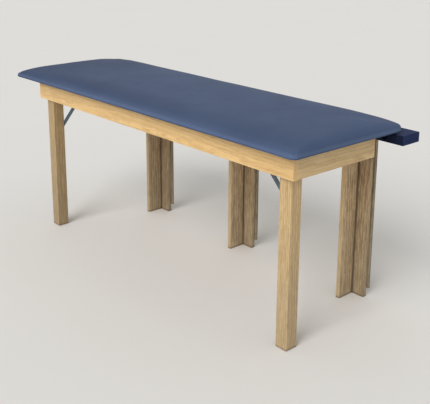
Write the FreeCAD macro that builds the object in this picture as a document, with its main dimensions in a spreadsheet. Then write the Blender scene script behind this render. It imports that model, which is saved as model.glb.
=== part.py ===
import FreeCAD, Part
import Sketcher
import math
import os

# A wall-mounted folding treatment table in millimetres. X runs along the table, +Y points to
# the wall and +Z is up. The origin is on the floor, under the middle of the whole set.

os.makedirs("parts", exist_ok=True)
doc = FreeCAD.newDocument("folding_treatment_table")
sizes = doc.addObject("Spreadsheet::Sheet", "Sizes")
nodes = {}

DIMENSIONS = {
    # wall plane and the three fixed posts
    "wall_y": 320,
    "cleat_thick": 12,
    "cleat_side_lap": 8,
    "cleat_floor_clear": 36,
    "flange_thick": 19,
    "flange_width": 76,
    "web_thick": 19,
    "web_depth": 80,
    "post_height": 684,
    "left_post_inset": 264,
    "middle_post_shift": 10,
    "right_post_inset": 262,
    "edge_ease": 1.5,
    # hinge rail on top of the posts, with its wall bolts
    "rail_shift_x": 27,
    "rail_length": 1800,
    "rail_depth": 88,
    "rail_height": 37.2,
    "wall_bolt_hole": 9,
    "wall_bolt_recess": 22,
    "wall_bolt_recess_depth": 10,
    "inner_bolt_spacing": 640,
    "outer_bolt_inset": 80,
    # upholstered top
    "pad_shift_x": -12,
    "pad_length": 1830,
    "pad_width": 578,
    "pad_corner": 25,
    "pad_lip_height": 16.6,
    "pad_back_height": 37,
    "pad_crown_rise": 21.2,
    "pad_end_lip_height": 13,
    "pad_end_run": 245,
    "pad_end_roll": 32,
    "pad_side_draw": 4,
    "pad_side_bulge": 5,
    "deck_thick": 12.7,
    "deck_inset": 9,
    "hem_thick": 0.8,
    "hem_rail_gap": 1,
    "hem_pull_depth": 14,
    "hem_pull_count": 6,
    # oak rails under the top
    "left_overhang": 117,
    "right_overhang": 58,
    "front_overhang": 62,
    "rail_board": 19,
    "rail_drop": 93.4,
    "end_rail_back_clear": 90,
    # folding legs
    "left_leg_inset": 32,
    "right_leg_clear": 7,
    "leg_width": 53,
    "leg_depth": 53,
    "leg_rail_gap": 0.5,
    "leg_top_gap": 0.3,
    "leg_cleat_thick": 17,
    "leg_cleat_inboard": 62,
    "leg_cleat_end_clear": 5,
    "glide_width": 42,
    "glide_height": 2,
    # butt hinges
    "knuckle_radius": 3.2,
    "pin_radius": 1.6,
    "pin_clearance": 0.05,
    "leaf_thick": 1.6,
    "top_knuckle_count": 5,
    "leg_knuckle_count": 3,
    "knuckle_gap": 0.4,
    "leaf_seat_gap": 0.1,
    "top_hinge_length": 180,
    "left_hinge_inset": 327,
    "right_hinge_inset": 223,
    "hinge_rail_offset": 42,
    "rail_leaf_width": 40,
    "deck_leaf_width": 54,
    "top_hinge_setback": 4,
    "leg_hinge_length": 45,
    "leg_leaf_width": 44,
    # slotted leg braces
    "brace_pivot_inset": 20,
    "brace_pivot_drop": 212.3,
    "brace_rest_angle": 45,
    "brace_folded_angle": 5,
    "brace_length": 306,
    "brace_width": 18,
    "brace_thick": 3,
    "brace_leg_gap": 1,
    "brace_track_gap": 2.5,
    "brace_stud_radius": 4,
    "brace_stud_head": 7,
    "brace_stud_head_thick": 1.5,
    "brace_stud_depth": 26,
    "brace_pin_radius": 3.2,
    "brace_pin_head": 7,
    "brace_pin_head_thick": 2,
    "track_thick": 3,
    "track_slot_clearance": 0.4,
    "track_wall": 10,
    "track_flange": 28,
    # wall latch above the folded top
    "latch_left_x": -170,
    "latch_width": 190,
    "latch_bottom_z": 1326,
    "latch_height": 64,
    "latch_face_y": 263,
    "latch_bolt_hole": 6,
    "latch_bolt_spacing": 150,
    "latch_pivot_x": -98,
    "latch_pivot_z": 1356,
    "latch_plate_width": 40,
    "latch_socket_depth": 22,
    "latch_plate_thick": 2,
    "latch_plate_gap": 0.4,
    "latch_lever_length": 62,
    "latch_lever_width": 18,
    "latch_lever_thick": 4,
    "latch_post_radius": 5,
    "latch_knob_radius": 13,
    "latch_knob_neck": 8,
    "latch_knob_length": 20,
    "latch_knob_bevel": 4,
}

for row, (alias, value) in enumerate(DIMENSIONS.items(), start=1):
    sizes.set("A%d" % row, alias.replace("_", " "))
    sizes.set("B%d" % row, str(value))
    sizes.setAlias("B%d" % row, alias)
doc.recompute()


def size(alias):
    return float(sizes.get(alias))


# Places that several pieces share, as expressions on the sheet.
RAIL_LEFT_X = "(Sizes.rail_shift_x - Sizes.rail_length / 2)"
RAIL_RIGHT_X = "(Sizes.rail_shift_x + Sizes.rail_length / 2)"
PAD_LEFT_X = "(Sizes.pad_shift_x - Sizes.pad_length / 2)"
PAD_RIGHT_X = "(Sizes.pad_shift_x + Sizes.pad_length / 2)"
APRON_LEFT_X = "(%s + Sizes.left_overhang)" % PAD_LEFT_X
APRON_RIGHT_X = "(%s - Sizes.right_overhang)" % PAD_RIGHT_X
POST_X = {
    "left": "(%s + Sizes.left_post_inset)" % RAIL_LEFT_X,
    "middle": "(Sizes.rail_shift_x - Sizes.middle_post_shift)",
    "right": "(%s - Sizes.right_post_inset)" % RAIL_RIGHT_X,
}
HINGE_X = {
    "left": "(%s + Sizes.left_hinge_inset)" % PAD_LEFT_X,
    "right": "(%s - Sizes.right_hinge_inset)" % PAD_RIGHT_X,
}
DECK_Z = "(Sizes.post_height + Sizes.rail_height + 2 * Sizes.knuckle_radius + Sizes.hem_thick)"
RAIL_TOP_Z = "(Sizes.post_height + Sizes.rail_height)"
TOP_AXIS_Z = "(%s + Sizes.knuckle_radius)" % RAIL_TOP_Z
FRAME_BACK_Y = "(Sizes.wall_y - Sizes.cleat_thick)"
RAIL_FRONT_Y = "(%s - Sizes.rail_depth)" % FRAME_BACK_Y
TOP_AXIS_Y = "(%s + Sizes.hinge_rail_offset)" % RAIL_FRONT_Y
PAD_BACK_Y = "(%s - Sizes.top_hinge_setback)" % TOP_AXIS_Y
PAD_FRONT_Y = "(%s - Sizes.pad_width)" % PAD_BACK_Y
FRONT_RAIL_Y = "(%s + Sizes.front_overhang)" % PAD_FRONT_Y
FRONT_RAIL_BACK_Y = "(%s + Sizes.rail_board)" % FRONT_RAIL_Y
END_RAIL_BACK_Y = "(%s - Sizes.end_rail_back_clear)" % PAD_BACK_Y
LEG_FRONT_Y = "(%s + Sizes.leg_rail_gap)" % FRONT_RAIL_BACK_Y
LEG_BACK_Y = "(%s + Sizes.leg_depth)" % LEG_FRONT_Y
LEG_AXIS_Z = "(%s - Sizes.leg_cleat_thick - Sizes.knuckle_radius - Sizes.leaf_seat_gap)" % DECK_Z
LEAF_SEAT = "(Sizes.knuckle_radius + Sizes.leaf_seat_gap)"
LEG_X = {
    "left": "(%s + Sizes.left_leg_inset)" % APRON_LEFT_X,
    "right": "(%s - Sizes.rail_board - Sizes.right_leg_clear - Sizes.leg_width)" % APRON_RIGHT_X,
}
LEG_AXIS_X = {
    "left": "(%s + Sizes.leg_width + %s)" % (LEG_X["left"], LEAF_SEAT),
    "right": "(%s - %s)" % (LEG_X["right"], LEAF_SEAT),
}
INBOARD = {"left": 1, "right": -1}
BORE = "(Sizes.pin_radius + Sizes.pin_clearance)"


def solve(expression):
    return float(sizes.evalExpression(expression.replace("Sizes.", "")))


def place(item, x, y, z):
    for axis, expression in zip("xyz", (x, y, z)):
        item.setExpression("Placement.Base." + axis, expression)


def box(name, extent, corner):
    item = doc.addObject("Part::Box", name)
    for prop, expression in zip(("Length", "Width", "Height"), extent):
        item.setExpression(prop, expression)
    place(item, *corner)
    return item


def cylinder(name, radius, length, start, axis):
    item = doc.addObject("Part::Cylinder", name)
    item.setExpression("Radius", radius)
    item.setExpression("Height", length)
    turns = {
        "x": FreeCAD.Rotation(FreeCAD.Vector(0, 1, 0), 90),
        "y": FreeCAD.Rotation(FreeCAD.Vector(1, 0, 0), -90),
        "z": FreeCAD.Rotation(),
    }
    item.Placement = FreeCAD.Placement(FreeCAD.Vector(), turns[axis])
    place(item, *start)
    return item


def fuse(name, pieces):
    item = doc.addObject("Part::MultiFuse", name)
    item.Shapes = pieces
    return item


def cut(name, base, tools):
    item = doc.addObject("Part::Cut", name)
    item.Base = base
    item.Tool = tools[0] if len(tools) == 1 else fuse(name + "_tools", tools)
    return item


def node(label, item):
    item.Label = label
    nodes[label] = item
    return item


def formed(label, shape):
    item = doc.addObject("Part::Feature", label)
    item.Shape = shape
    return node(label, item)


def span(axis, side, near, far):
    if INBOARD[side] > 0:
        return "%s + (%s)" % (axis, near)
    return "%s - (%s)" % (axis, far)


def origin_plane(body, role):
    for feature in body.Origin.OriginFeatures:
        if feature.Role == role:
            return feature
    raise ValueError("no plane " + role)


def rectangle(sketch, width, depth):
    corners = [(0, 0), (10, 0), (10, 10), (0, 10)]
    points = [FreeCAD.Vector(x, y, 0) for x, y in corners]
    for index in range(4):
        sketch.addGeometry(Part.LineSegment(points[index], points[(index + 1) % 4]))
    for index in range(4):
        sketch.addConstraint(Sketcher.Constraint("Coincident", index, 2, (index + 1) % 4, 1))
    for index, kind in enumerate(("Horizontal", "Vertical", "Horizontal", "Vertical")):
        sketch.addConstraint(Sketcher.Constraint(kind, index))
    sketch.addConstraint(Sketcher.Constraint("Coincident", 0, 1, -1, 1))
    across = sketch.addConstraint(Sketcher.Constraint("DistanceX", 0, 1, 0, 2, 10))
    along = sketch.addConstraint(Sketcher.Constraint("DistanceY", 1, 1, 1, 2, 10))
    sketch.setExpression("Constraints[%d]" % across, width)
    sketch.setExpression("Constraints[%d]" % along, depth)


def edges_along(shape, direction):
    names = []
    for number, edge in enumerate(shape.Edges, start=1):
        run = edge.Vertexes[-1].Point.sub(edge.Vertexes[0].Point)
        if run.Length > 0 and abs(run.dot(direction)) > 0.999 * run.Length:
            names.append("Edge%d" % number)
    return names


def board(name, extent, corner, grain, dressing="PartDesign::Chamfer", dress_size="Sizes.edge_ease"):
    # A planed board: a rectangle padded to size, with the four edges along the grain dressed.
    body = doc.addObject("PartDesign::Body", name)
    sketch = body.newObject("Sketcher::SketchObject", name + "_outline")
    sketch.AttachmentSupport = [(origin_plane(body, "XY_Plane"), "")]
    sketch.MapMode = "FlatFace"
    rectangle(sketch, extent[0], extent[1])
    pad = body.newObject("PartDesign::Pad", name + "_pad")
    pad.Profile = sketch
    pad.setExpression("Length", extent[2])
    doc.recompute()
    dressed = body.newObject(dressing, name + "_edges")
    dressed.Base = (pad, edges_along(pad.Shape, grain))
    dressed.setExpression("Size" if dressing.endswith("Chamfer") else "Radius", dress_size)
    body.Tip = dressed
    place(body, *corner)
    return body


ALONG_X = FreeCAD.Vector(1, 0, 0)
ALONG_Y = FreeCAD.Vector(0, 1, 0)
ALONG_Z = FreeCAD.Vector(0, 0, 1)


def build_post(side):
    web_x = POST_X[side]
    flange_y = "%s - Sizes.flange_thick" % FRAME_BACK_Y
    node("post_flange_" + side, board(
        "post_flange_" + side,
        ("Sizes.flange_width", "Sizes.flange_thick", "Sizes.post_height"),
        (web_x, flange_y, "0"), ALONG_Z))
    node("post_web_" + side, board(
        "post_web_" + side,
        ("Sizes.web_thick", "Sizes.web_depth", "Sizes.post_height"),
        (web_x, flange_y + " - Sizes.web_depth", "0"), ALONG_Z))
    node("wall_cleat_" + side, board(
        "wall_cleat_" + side,
        ("Sizes.flange_width + Sizes.cleat_side_lap", "Sizes.cleat_thick",
         "Sizes.post_height - Sizes.cleat_floor_clear"),
        (web_x, FRAME_BACK_Y, "Sizes.cleat_floor_clear"), ALONG_Z))


def wall_bolts(name, start_y, length, radius):
    reach = {
        "inner": "Sizes.inner_bolt_spacing / 2",
        "outer": "(Sizes.rail_length / 2 - Sizes.outer_bolt_inset)",
    }
    drills = []
    for pair in ("inner", "outer"):
        for sign in ("-", "+"):
            x = "Sizes.rail_shift_x %s %s" % (sign, reach[pair])
            z = "Sizes.post_height + Sizes.rail_height / 2"
            label = "%s_%s_%s" % (name, pair, "low" if sign == "-" else "high")
            drills.append(cylinder(label, radius, length, (x, start_y, z), "y"))
    return drills


def build_rail():
    blank = board("hinge_rail_blank", ("Sizes.rail_length", "Sizes.rail_depth", "Sizes.rail_height"),
                  (RAIL_LEFT_X, RAIL_FRONT_Y, "Sizes.post_height"), ALONG_X)
    shanks = wall_bolts("rail_bolt", RAIL_FRONT_Y, "Sizes.rail_depth", "Sizes.wall_bolt_hole / 2")
    recesses = wall_bolts("rail_recess", RAIL_FRONT_Y, "Sizes.wall_bolt_recess_depth",
                          "Sizes.wall_bolt_recess / 2")
    node("hinge_rail", cut("hinge_rail", blank, shanks + recesses))
    strip = board("wall_ledger_blank", ("Sizes.rail_length", "Sizes.cleat_thick", "Sizes.rail_height"),
                  (RAIL_LEFT_X, FRAME_BACK_Y, "Sizes.post_height"), ALONG_X)
    holes = wall_bolts("ledger_bolt", FRAME_BACK_Y, "Sizes.cleat_thick", "Sizes.wall_bolt_hole / 2")
    node("wall_ledger", cut("wall_ledger", strip, holes))


def knuckle_places(kind, start, own):
    # Every second barrel of a hinge, as (start, length) along its pin.
    count = kind + "_knuckle_count"
    barrel = "(Sizes.%s_hinge_length / Sizes.%s)" % (kind, count)
    stretches = []
    for index in range(own, int(size(count)), 2):
        begin = "%s + %d * %s + Sizes.knuckle_gap / 2" % (start, index, barrel)
        stretches.append((begin, "%s - Sizes.knuckle_gap" % barrel))
    return stretches


def top_leaf(label, middle_x, width, own, leaf_z):
    # One leaf of a top hinge: a plate in front of the pin with every second barrel.
    half = "Sizes.top_hinge_length / 2"
    start = "%s - %s" % (middle_x, half)
    reach = "(Sizes.knuckle_radius + Sizes.knuckle_gap)"
    front = "%s - %s" % (TOP_AXIS_Y, width)
    plate = ("Sizes.top_hinge_length", "%s - %s" % (width, reach), "Sizes.leaf_thick")
    pieces = [box(label + "_plate", plate, (start, front, leaf_z))]
    bores = []
    for index, (begin, length) in enumerate(knuckle_places("top", start, own)):
        name = "%s_barrel_%d" % (label, index)
        pieces.append(cylinder(name, "Sizes.knuckle_radius", length, (begin, TOP_AXIS_Y, TOP_AXIS_Z), "x"))
        pieces.append(box(name + "_root", (length, reach, "Sizes.leaf_thick"),
                          (begin, "%s - %s" % (TOP_AXIS_Y, reach), leaf_z)))
        bores.append(cylinder(name + "_bore", BORE, length, (begin, TOP_AXIS_Y, TOP_AXIS_Z), "x"))
    node(label, cut(label, fuse(label + "_body", pieces), bores))


def build_top_hinge(side):
    middle_x = HINGE_X[side]
    top_leaf("rail_leaf_" + side, middle_x, "Sizes.rail_leaf_width", 0, RAIL_TOP_Z)
    top_leaf("deck_leaf_" + side, middle_x, "Sizes.deck_leaf_width", 1,
             "%s - Sizes.hem_thick - Sizes.leaf_thick" % DECK_Z)
    node("top_hinge_pin_" + side, cylinder(
        "top_hinge_pin_" + side, "Sizes.pin_radius", "Sizes.top_hinge_length",
        ("%s - Sizes.top_hinge_length / 2" % middle_x, TOP_AXIS_Y, TOP_AXIS_Z), "x"))


def corner_inset(run, radius):
    if run >= radius:
        return 0.0
    return radius - math.sqrt(radius ** 2 - (radius - run) ** 2)


def cushion_section(x, run):
    # Section of the pad at a given run from its nearer end: a flat base, bulged sides, and a top that
    # rolls up from a thin front lip and a thicker back edge and is nearly flat between them.
    corner = corner_inset(run, size("pad_corner"))
    half = size("pad_length") / 2
    straight = half - size("pad_corner")
    draw = size("pad_side_draw") * (1 - (min(half - run, straight) / straight) ** 2)
    bulge = size("pad_side_bulge")
    front = solve(PAD_FRONT_Y) + corner + draw
    back = solve(PAD_BACK_Y) - corner - draw
    rise = math.sin(0.5 * math.pi * min(run / size("pad_end_run"), 1.0)) ** 0.42
    roll = 1 - (1 - min(run / size("pad_end_roll"), 1.0)) ** 2.5
    end = size("pad_end_lip_height")
    low = solve(DECK_Z)
    lip = low + end + (size("pad_lip_height") - end) * rise
    heel = low + end + (size("pad_back_height") - end) * rise
    crown = max(size("pad_crown_rise") * roll, 0.5)
    top = []
    for share in (1, 0.95, 0.82, 0.5, 0, -0.5, -0.82, -0.95, -1):
        y = (front + back) / 2 + share * ((back - front) / 2 - bulge)
        z = (lip + heel) / 2 + share * (heel - lip) / 2 + crown * (1 - abs(share) ** 4.4)
        top.append(FreeCAD.Vector(x, y, z))
    crown_line = Part.BSplineCurve()
    crown_line.interpolate(top)
    base_front = FreeCAD.Vector(x, front + bulge, low)
    base_back = FreeCAD.Vector(x, back - bulge, low)
    heel_point = FreeCAD.Vector(x, back - bulge, heel)
    lip_point = FreeCAD.Vector(x, front + bulge, lip)
    back_side = FreeCAD.Vector(x, back, (low + heel) / 2)
    front_side = FreeCAD.Vector(x, front, (low + lip) / 2)
    edges = [
        Part.LineSegment(base_front, base_back).toShape(),
        Part.Arc(base_back, back_side, heel_point).toShape(),
        crown_line.toShape(),
        Part.Arc(lip_point, front_side, base_front).toShape(),
    ]
    return Part.Wire(edges)


def build_pad():
    left = solve(PAD_LEFT_X)
    length = size("pad_length")
    corner = size("pad_corner")
    end_run = size("pad_end_run")
    roll = max(size("pad_end_roll"), 1.05 * corner)
    runs = [0.0]
    runs += [corner * (1 - math.cos(math.radians(angle))) for angle in (30, 60, 90)]
    runs += [roll + (end_run - roll) * share for share in (0.0, 0.2, 0.55, 1.0)]
    sections = [cushion_section(left + run, run) for run in runs]
    sections.append(cushion_section(left + length / 2, length / 2))
    sections += [cushion_section(left + length - run, run) for run in reversed(runs)]
    form = Part.makeLoft(sections, True, True)
    inset = "Sizes.deck_inset"
    deck = board("deck", ("Sizes.pad_length - 2 * %s" % inset, "Sizes.pad_width - 2 * %s" % inset,
                          "Sizes.deck_thick"),
                 ("%s + %s" % (PAD_LEFT_X, inset), "%s + %s" % (PAD_FRONT_Y, inset), DECK_Z),
                 ALONG_Z, "PartDesign::Fillet", "Sizes.pad_corner - 0.2 * Sizes.deck_inset")
    node("deck", deck)
    doc.recompute()
    formed("cushion", form.cut(deck.Shape))


def build_hem():
    # Vinyl turned under the deck, pulled forward to a point at each staple along the wall side.
    low = solve(DECK_Z) - size("hem_thick")
    inset = size("deck_inset")
    left = solve(PAD_LEFT_X) + inset
    right = solve(PAD_RIGHT_X) - inset
    front = solve(PAD_FRONT_Y) + inset
    back = solve(PAD_BACK_Y) - inset
    ring = Part.makeBox(right - left, back - front, size("hem_thick"), FreeCAD.Vector(left, front, low))
    corners = [ring.Edges[number - 1] for number in (1, 3, 5, 7)]
    ring = ring.makeFillet(size("pad_corner") - 0.2 * inset, corners)
    rail_left = solve(APRON_LEFT_X)
    rail_right = solve(APRON_RIGHT_X)
    rail_front = solve(FRONT_RAIL_Y)
    open_back = solve("%s + Sizes.hem_rail_gap" % END_RAIL_BACK_Y)
    count = int(size("hem_pull_count"))
    step = (rail_right - rail_left) / count
    edges = []
    for index in range(count):
        start = FreeCAD.Vector(rail_left + index * step, open_back, low)
        middle = FreeCAD.Vector(start.x + step / 2, open_back + size("hem_pull_depth"), low)
        end = FreeCAD.Vector(start.x + step, open_back, low)
        edges.append(Part.Arc(start, middle, end).toShape())
    turn = [FreeCAD.Vector(rail_right, open_back, low), FreeCAD.Vector(rail_right, rail_front, low),
            FreeCAD.Vector(rail_left, rail_front, low), FreeCAD.Vector(rail_left, open_back, low)]
    for start, end in zip(turn, turn[1:]):
        edges.append(Part.LineSegment(start, end).toShape())
    window = Part.Face(Part.Wire(edges)).extrude(FreeCAD.Vector(0, 0, size("hem_thick")))
    formed("underside_hem", ring.cut(window))


def build_rails():
    bottom = "%s - Sizes.rail_drop" % DECK_Z
    node("front_rail", board(
        "front_rail", ("%s - %s" % (APRON_RIGHT_X, APRON_LEFT_X), "Sizes.rail_board", "Sizes.rail_drop"),
        (APRON_LEFT_X, FRONT_RAIL_Y, bottom), ALONG_X))
    end_x = "%s - Sizes.rail_board" % APRON_RIGHT_X
    node("end_rail", board(
        "end_rail",
        ("Sizes.rail_board", "%s - %s" % (END_RAIL_BACK_Y, FRONT_RAIL_BACK_Y), "Sizes.rail_drop"),
        (end_x, FRONT_RAIL_BACK_Y, bottom), ALONG_Y))


def leg_leaf(label, side, own, on_leg):
    # A leg hinge leaf: it stands on the leg's inner face or lies under the leg cleat.
    axis_x = LEG_AXIS_X[side]
    reach = "(Sizes.knuckle_radius + Sizes.knuckle_gap)"
    plate = "Sizes.leg_leaf_width - %s" % reach
    inner = "Sizes.knuckle_radius - Sizes.leaf_thick"
    start = "%s + (Sizes.leg_depth - Sizes.leg_hinge_length) / 2" % LEG_FRONT_Y
    flat_x = span(axis_x, side, "-Sizes.knuckle_radius", "-(%s)" % inner)
    if on_leg:
        extent = ("Sizes.leaf_thick", "Sizes.leg_hinge_length", plate)
        corner = (flat_x, start, "%s - Sizes.leg_leaf_width" % LEG_AXIS_Z)
    else:
        extent = (plate, "Sizes.leg_hinge_length", "Sizes.leaf_thick")
        corner = (span(axis_x, side, reach, "Sizes.leg_leaf_width"), start, "%s + %s" % (LEG_AXIS_Z, inner))
    pieces = [box(label + "_plate", extent, corner)]
    bores = []
    for index, (begin, length) in enumerate(knuckle_places("leg", start, own)):
        name = "%s_barrel_%d" % (label, index)
        pieces.append(cylinder(name, "Sizes.knuckle_radius", length, (axis_x, begin, LEG_AXIS_Z), "y"))
        if on_leg:
            root = box(name + "_root", ("Sizes.leaf_thick", length, reach),
                       (flat_x, begin, "%s - %s" % (LEG_AXIS_Z, reach)))
        else:
            root = box(name + "_root", (reach, length, "Sizes.leaf_thick"),
                       (span(axis_x, side, "0", reach), begin, "%s + %s" % (LEG_AXIS_Z, inner)))
        pieces.append(root)
        bores.append(cylinder(name + "_bore", BORE, length, (axis_x, begin, LEG_AXIS_Z), "y"))
    node(label, cut(label, fuse(label + "_body", pieces), bores))


def build_leg(side):
    axis_x = LEG_AXIS_X[side]
    leg_x = LEG_X[side]
    leg_top = "%s + %s - Sizes.leg_top_gap" % (LEG_AXIS_Z, LEAF_SEAT)
    pivot_x = span(axis_x, side, "-(%s + Sizes.brace_pivot_inset)" % LEAF_SEAT,
                   "-(%s + Sizes.brace_pivot_inset)" % LEAF_SEAT)
    pivot_z = "%s - Sizes.brace_pivot_drop" % LEG_AXIS_Z
    blank = board("leg_blank_" + side,
                  ("Sizes.leg_width", "Sizes.leg_depth", "%s - Sizes.glide_height" % leg_top),
                  (leg_x, LEG_FRONT_Y, "Sizes.glide_height"), ALONG_Z)
    socket = cylinder("leg_socket_" + side, "Sizes.brace_stud_radius", "Sizes.brace_stud_depth",
                      (pivot_x, "%s - Sizes.brace_stud_depth" % LEG_BACK_Y, pivot_z), "y")
    node("leg_" + side, cut("leg_" + side, blank, [socket]))
    node("foot_glide_" + side, board(
        "foot_glide_" + side, ("Sizes.glide_width", "Sizes.glide_width", "Sizes.glide_height"),
        (leg_x + " + (Sizes.leg_width - Sizes.glide_width) / 2",
         LEG_FRONT_Y + " + (Sizes.leg_depth - Sizes.glide_width) / 2", "0"), ALONG_Z))
    stack = "(Sizes.brace_leg_gap + Sizes.brace_thick + Sizes.leaf_seat_gap)"
    shank = cylinder("brace_stud_shank_" + side, "Sizes.brace_stud_radius",
                     "Sizes.brace_stud_depth + " + stack,
                     (pivot_x, "%s - Sizes.brace_stud_depth" % LEG_BACK_Y, pivot_z), "y")
    head = cylinder("brace_stud_cap_" + side, "Sizes.brace_stud_head", "Sizes.brace_stud_head_thick",
                    (pivot_x, "%s + %s" % (LEG_BACK_Y, stack), pivot_z), "y")
    node("brace_stud_" + side, fuse("brace_stud_" + side, [shank, head]))
    leg_leaf("leg_leaf_" + side, side, 0, True)


def build_leg_seat(side):
    # The hardwood cleat that a leg's top end bears on, with the hinge's fixed leaf and pin.
    axis_x = LEG_AXIS_X[side]
    outer = "(Sizes.leg_width + %s + Sizes.leg_cleat_end_clear)" % LEAF_SEAT
    node("leg_cleat_" + side, board(
        "leg_cleat_" + side,
        ("Sizes.leg_cleat_inboard + " + outer, "Sizes.leg_depth", "Sizes.leg_cleat_thick"),
        (span(axis_x, side, "-" + outer, "Sizes.leg_cleat_inboard"), LEG_FRONT_Y,
         "%s - Sizes.leg_cleat_thick" % DECK_Z), ALONG_X))
    leg_leaf("cleat_leaf_" + side, side, 1, False)
    start = "%s + (Sizes.leg_depth - Sizes.leg_hinge_length) / 2" % LEG_FRONT_Y
    node("leg_hinge_pin_" + side, cylinder(
        "leg_hinge_pin_" + side, "Sizes.pin_radius", "Sizes.leg_hinge_length",
        (axis_x, start, LEG_AXIS_Z), "y"))


def brace_pin_path(share):
    # Place of the brace's upper pin, from the leg's hinge, at a share of the leg's quarter turn.
    # The brace turns in a constant ratio to the leg, which gives the slot its curve.
    turn = math.radians(90 * share)
    out = -(solve(LEAF_SEAT) + size("brace_pivot_inset"))
    down = -size("brace_pivot_drop")
    rest = size("brace_rest_angle")
    tilt = math.radians(rest + (size("brace_folded_angle") - rest) * share)
    x = out * math.cos(turn) - down * math.sin(turn) + size("brace_length") * math.cos(tilt)
    z = out * math.sin(turn) + down * math.cos(turn) + size("brace_length") * math.sin(tilt)
    return x, z


def path_offset(share, distance):
    x, z = brace_pin_path(share)
    step = 0.001
    before = brace_pin_path(share - step)
    after = brace_pin_path(share + step)
    run = math.hypot(after[0] - before[0], after[1] - before[1])
    across = (-(after[1] - before[1]) / run, (after[0] - before[0]) / run)
    return x + distance * across[0], z + distance * across[1]


def path_end(share, distance):
    x, z = brace_pin_path(share)
    side = path_offset(share, distance)
    away = -1 if share < 0.5 else 1
    return x + away * (side[1] - z), z - away * (side[0] - x)


def build_track(side):
    # Bent steel bracket under the deck whose curved slot carries the brace's upper pin.
    axis_x = solve(LEG_AXIS_X[side])
    axis_z = solve(LEG_AXIS_Z)
    near_y = solve("%s + Sizes.brace_leg_gap + Sizes.brace_thick + Sizes.brace_track_gap" % LEG_BACK_Y)
    turn = INBOARD[side]
    samples = [index / 12 for index in range(13)]

    def at(point):
        return FreeCAD.Vector(axis_x + turn * point[0], near_y, axis_z + point[1])

    def curve(distance):
        line = Part.BSplineCurve()
        line.interpolate([at(path_offset(share, distance)) for share in samples])
        return line.toShape()

    half = size("brace_pin_radius") + size("track_slot_clearance")
    ends = [Part.Arc(at(path_offset(share, half)), at(path_end(share, half)),
                     at(path_offset(share, -half))).toShape() for share in (0.0, 1.0)]
    slot = Part.Face(Part.Wire(Part.__sortEdges__([curve(half), ends[0], curve(-half), ends[1]])))
    thick = FreeCAD.Vector(0, size("track_thick"), 0)
    wall = half + size("track_wall")
    top = solve(DECK_Z) - axis_z
    start = brace_pin_path(0.0)
    stop = brace_pin_path(1.0)
    dip = min(path_offset(share, -wall)[1] for share in samples)
    outline = [(start[0] - wall, top), (stop[0] + wall, top), (stop[0] + wall, stop[1] - wall),
               (0.25 * start[0] + 0.75 * stop[0], dip), (0.65 * start[0] + 0.35 * stop[0], dip),
               (start[0] - wall, start[1] - wall)]
    corners = [at(point) for point in outline]
    plate = Part.Face(Part.makePolygon(corners + corners[:1])).extrude(thick)
    plate = plate.cut(slot.extrude(thick))
    left = min(corners[0].x, corners[1].x)
    flange = Part.makeBox(abs(corners[1].x - corners[0].x), size("track_flange"), size("track_thick"),
                          FreeCAD.Vector(left, near_y, axis_z + top - size("track_thick")))
    formed("brace_track_" + side, plate.fuse(flange).removeSplitter())


def build_brace(side):
    axis_x = LEG_AXIS_X[side]
    inset = "%s + Sizes.brace_pivot_inset" % LEAF_SEAT
    pivot_x = span(axis_x, side, "-(%s)" % inset, "-(%s)" % inset)
    pivot_z = "%s - Sizes.brace_pivot_drop" % LEG_AXIS_Z
    reach_x = "Sizes.brace_length * cos(Sizes.brace_rest_angle * 1 deg)"
    reach_z = "Sizes.brace_length * sin(Sizes.brace_rest_angle * 1 deg)"
    pin_x = "%s %s %s" % (pivot_x, "+" if INBOARD[side] > 0 else "-", reach_x)
    pin_z = "%s + %s" % (pivot_z, reach_z)
    near_y = "%s + Sizes.brace_leg_gap" % LEG_BACK_Y
    ends = []
    for name, x, z in (("low", pivot_x, pivot_z), ("high", pin_x, pin_z)):
        ends.append(cylinder("brace_%s_eye_%s" % (name, side), "Sizes.brace_width / 2", "Sizes.brace_thick",
                             (x, near_y, z), "y"))
    strip = doc.addObject("Part::Box", "brace_strip_" + side)
    strip.setExpression("Length", "Sizes.brace_length")
    strip.setExpression("Width", "Sizes.brace_thick")
    strip.setExpression("Height", "Sizes.brace_width")
    # The strip's lower corner sits half a width below the pivot, square to the brace.
    slope = "-Sizes.brace_rest_angle" if INBOARD[side] > 0 else "Sizes.brace_rest_angle - 180"
    strip.Placement = FreeCAD.Placement(FreeCAD.Vector(), FreeCAD.Rotation(ALONG_Y, -45))
    strip.setExpression("Placement.Rotation.Angle", slope)
    half = "Sizes.brace_width / 2"
    drop = "-" if INBOARD[side] > 0 else "+"
    place(strip, "%s + %s * sin(Sizes.brace_rest_angle * 1 deg)" % (pivot_x, half), near_y,
          "%s %s %s * cos(Sizes.brace_rest_angle * 1 deg)" % (pivot_z, drop, half))
    bores = [
        cylinder("brace_low_bore_" + side, "Sizes.brace_stud_radius + Sizes.pin_clearance",
                 "Sizes.brace_thick", (pivot_x, near_y, pivot_z), "y"),
        cylinder("brace_high_bore_" + side, "Sizes.brace_pin_radius", "Sizes.brace_thick",
                 (pin_x, near_y, pin_z), "y"),
    ]
    node("brace_bar_" + side, cut("brace_bar_" + side, fuse("brace_blank_" + side, ends + [strip]), bores))
    through = "(Sizes.brace_thick + Sizes.brace_track_gap + Sizes.track_thick + Sizes.track_slot_clearance)"
    shank = cylinder("brace_pin_shank_" + side, "Sizes.brace_pin_radius", through,
                     (pin_x, near_y, pin_z), "y")
    head = cylinder("brace_pin_head_" + side, "Sizes.brace_pin_head", "Sizes.brace_pin_head_thick",
                    (pin_x, "%s + %s" % (near_y, through), pin_z), "y")
    node("brace_pin_" + side, fuse("brace_pin_" + side, [shank, head]))


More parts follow.
